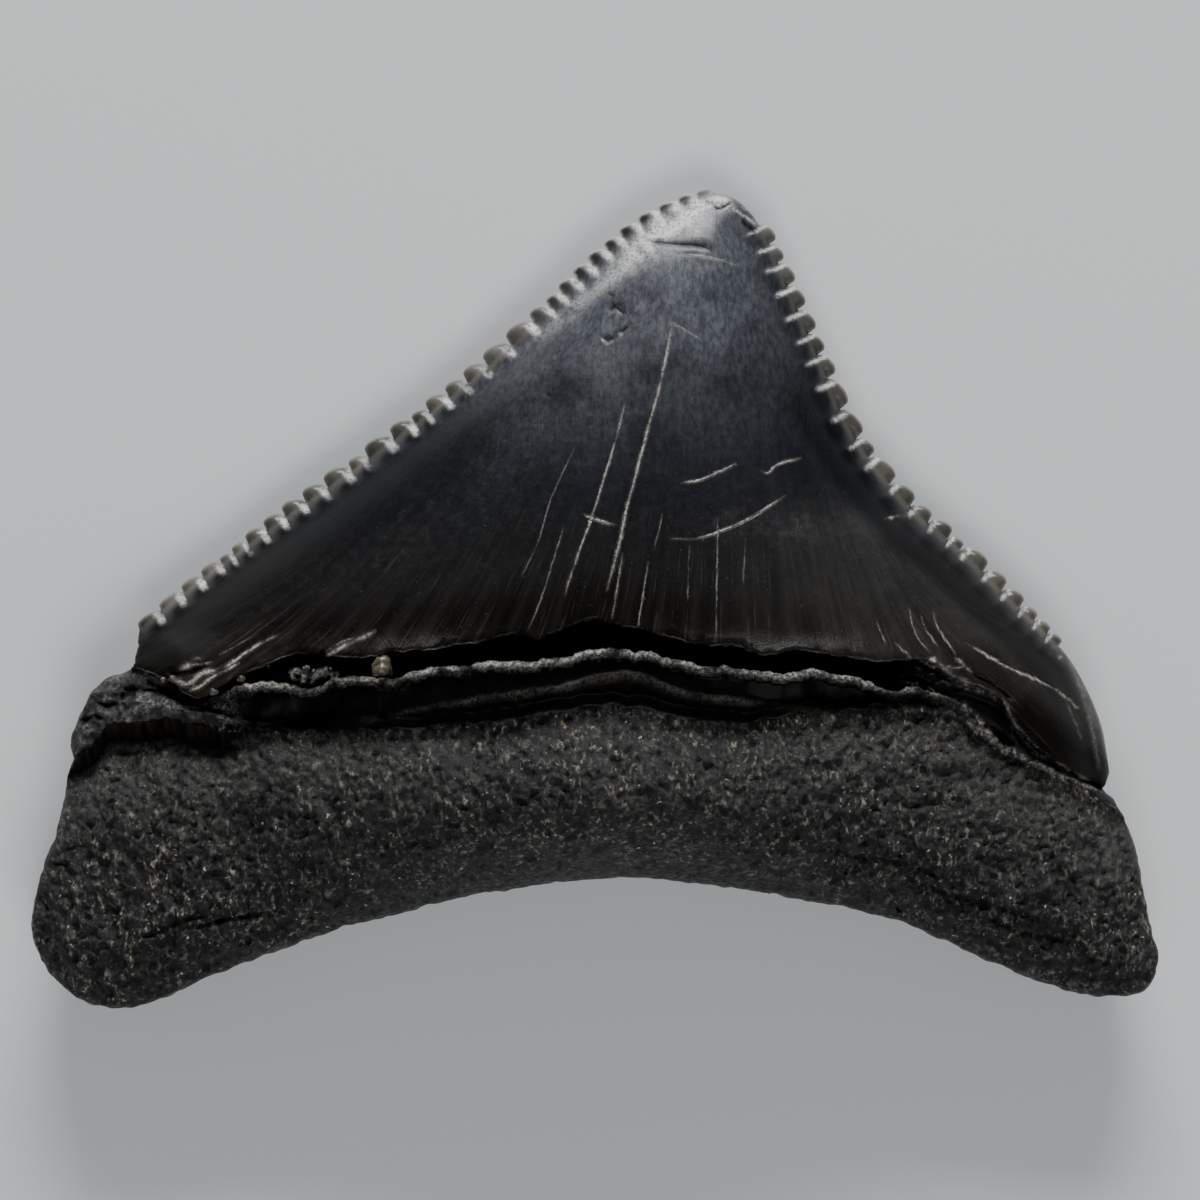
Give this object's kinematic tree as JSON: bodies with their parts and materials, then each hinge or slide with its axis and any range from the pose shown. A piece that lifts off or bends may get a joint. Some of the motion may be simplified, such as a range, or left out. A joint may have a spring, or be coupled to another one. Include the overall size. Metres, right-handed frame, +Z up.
{
  "type": "fossil megalodon tooth",
  "caption": "Small broad fossil shark tooth with serrated cutting edges, a cracked enamel base, a chipped corner and an arched porous root, lying on its flat face.",
  "frame": {"origin": "centre of the tooth's outline, on the surface it lies on", "axes": "+X across the tooth from the corner with the broken block to the other lobe, +Y from the root to the tip, +Z up out of the bulged lingual face"},
  "size_m": [0.0394, 0.0286, 0.0086],
  "materials": {
    "fossil_tooth": null
  },
  "bodies": {
    "root": {"tooth": "fossil_tooth"}
  },
  "joints": []
}
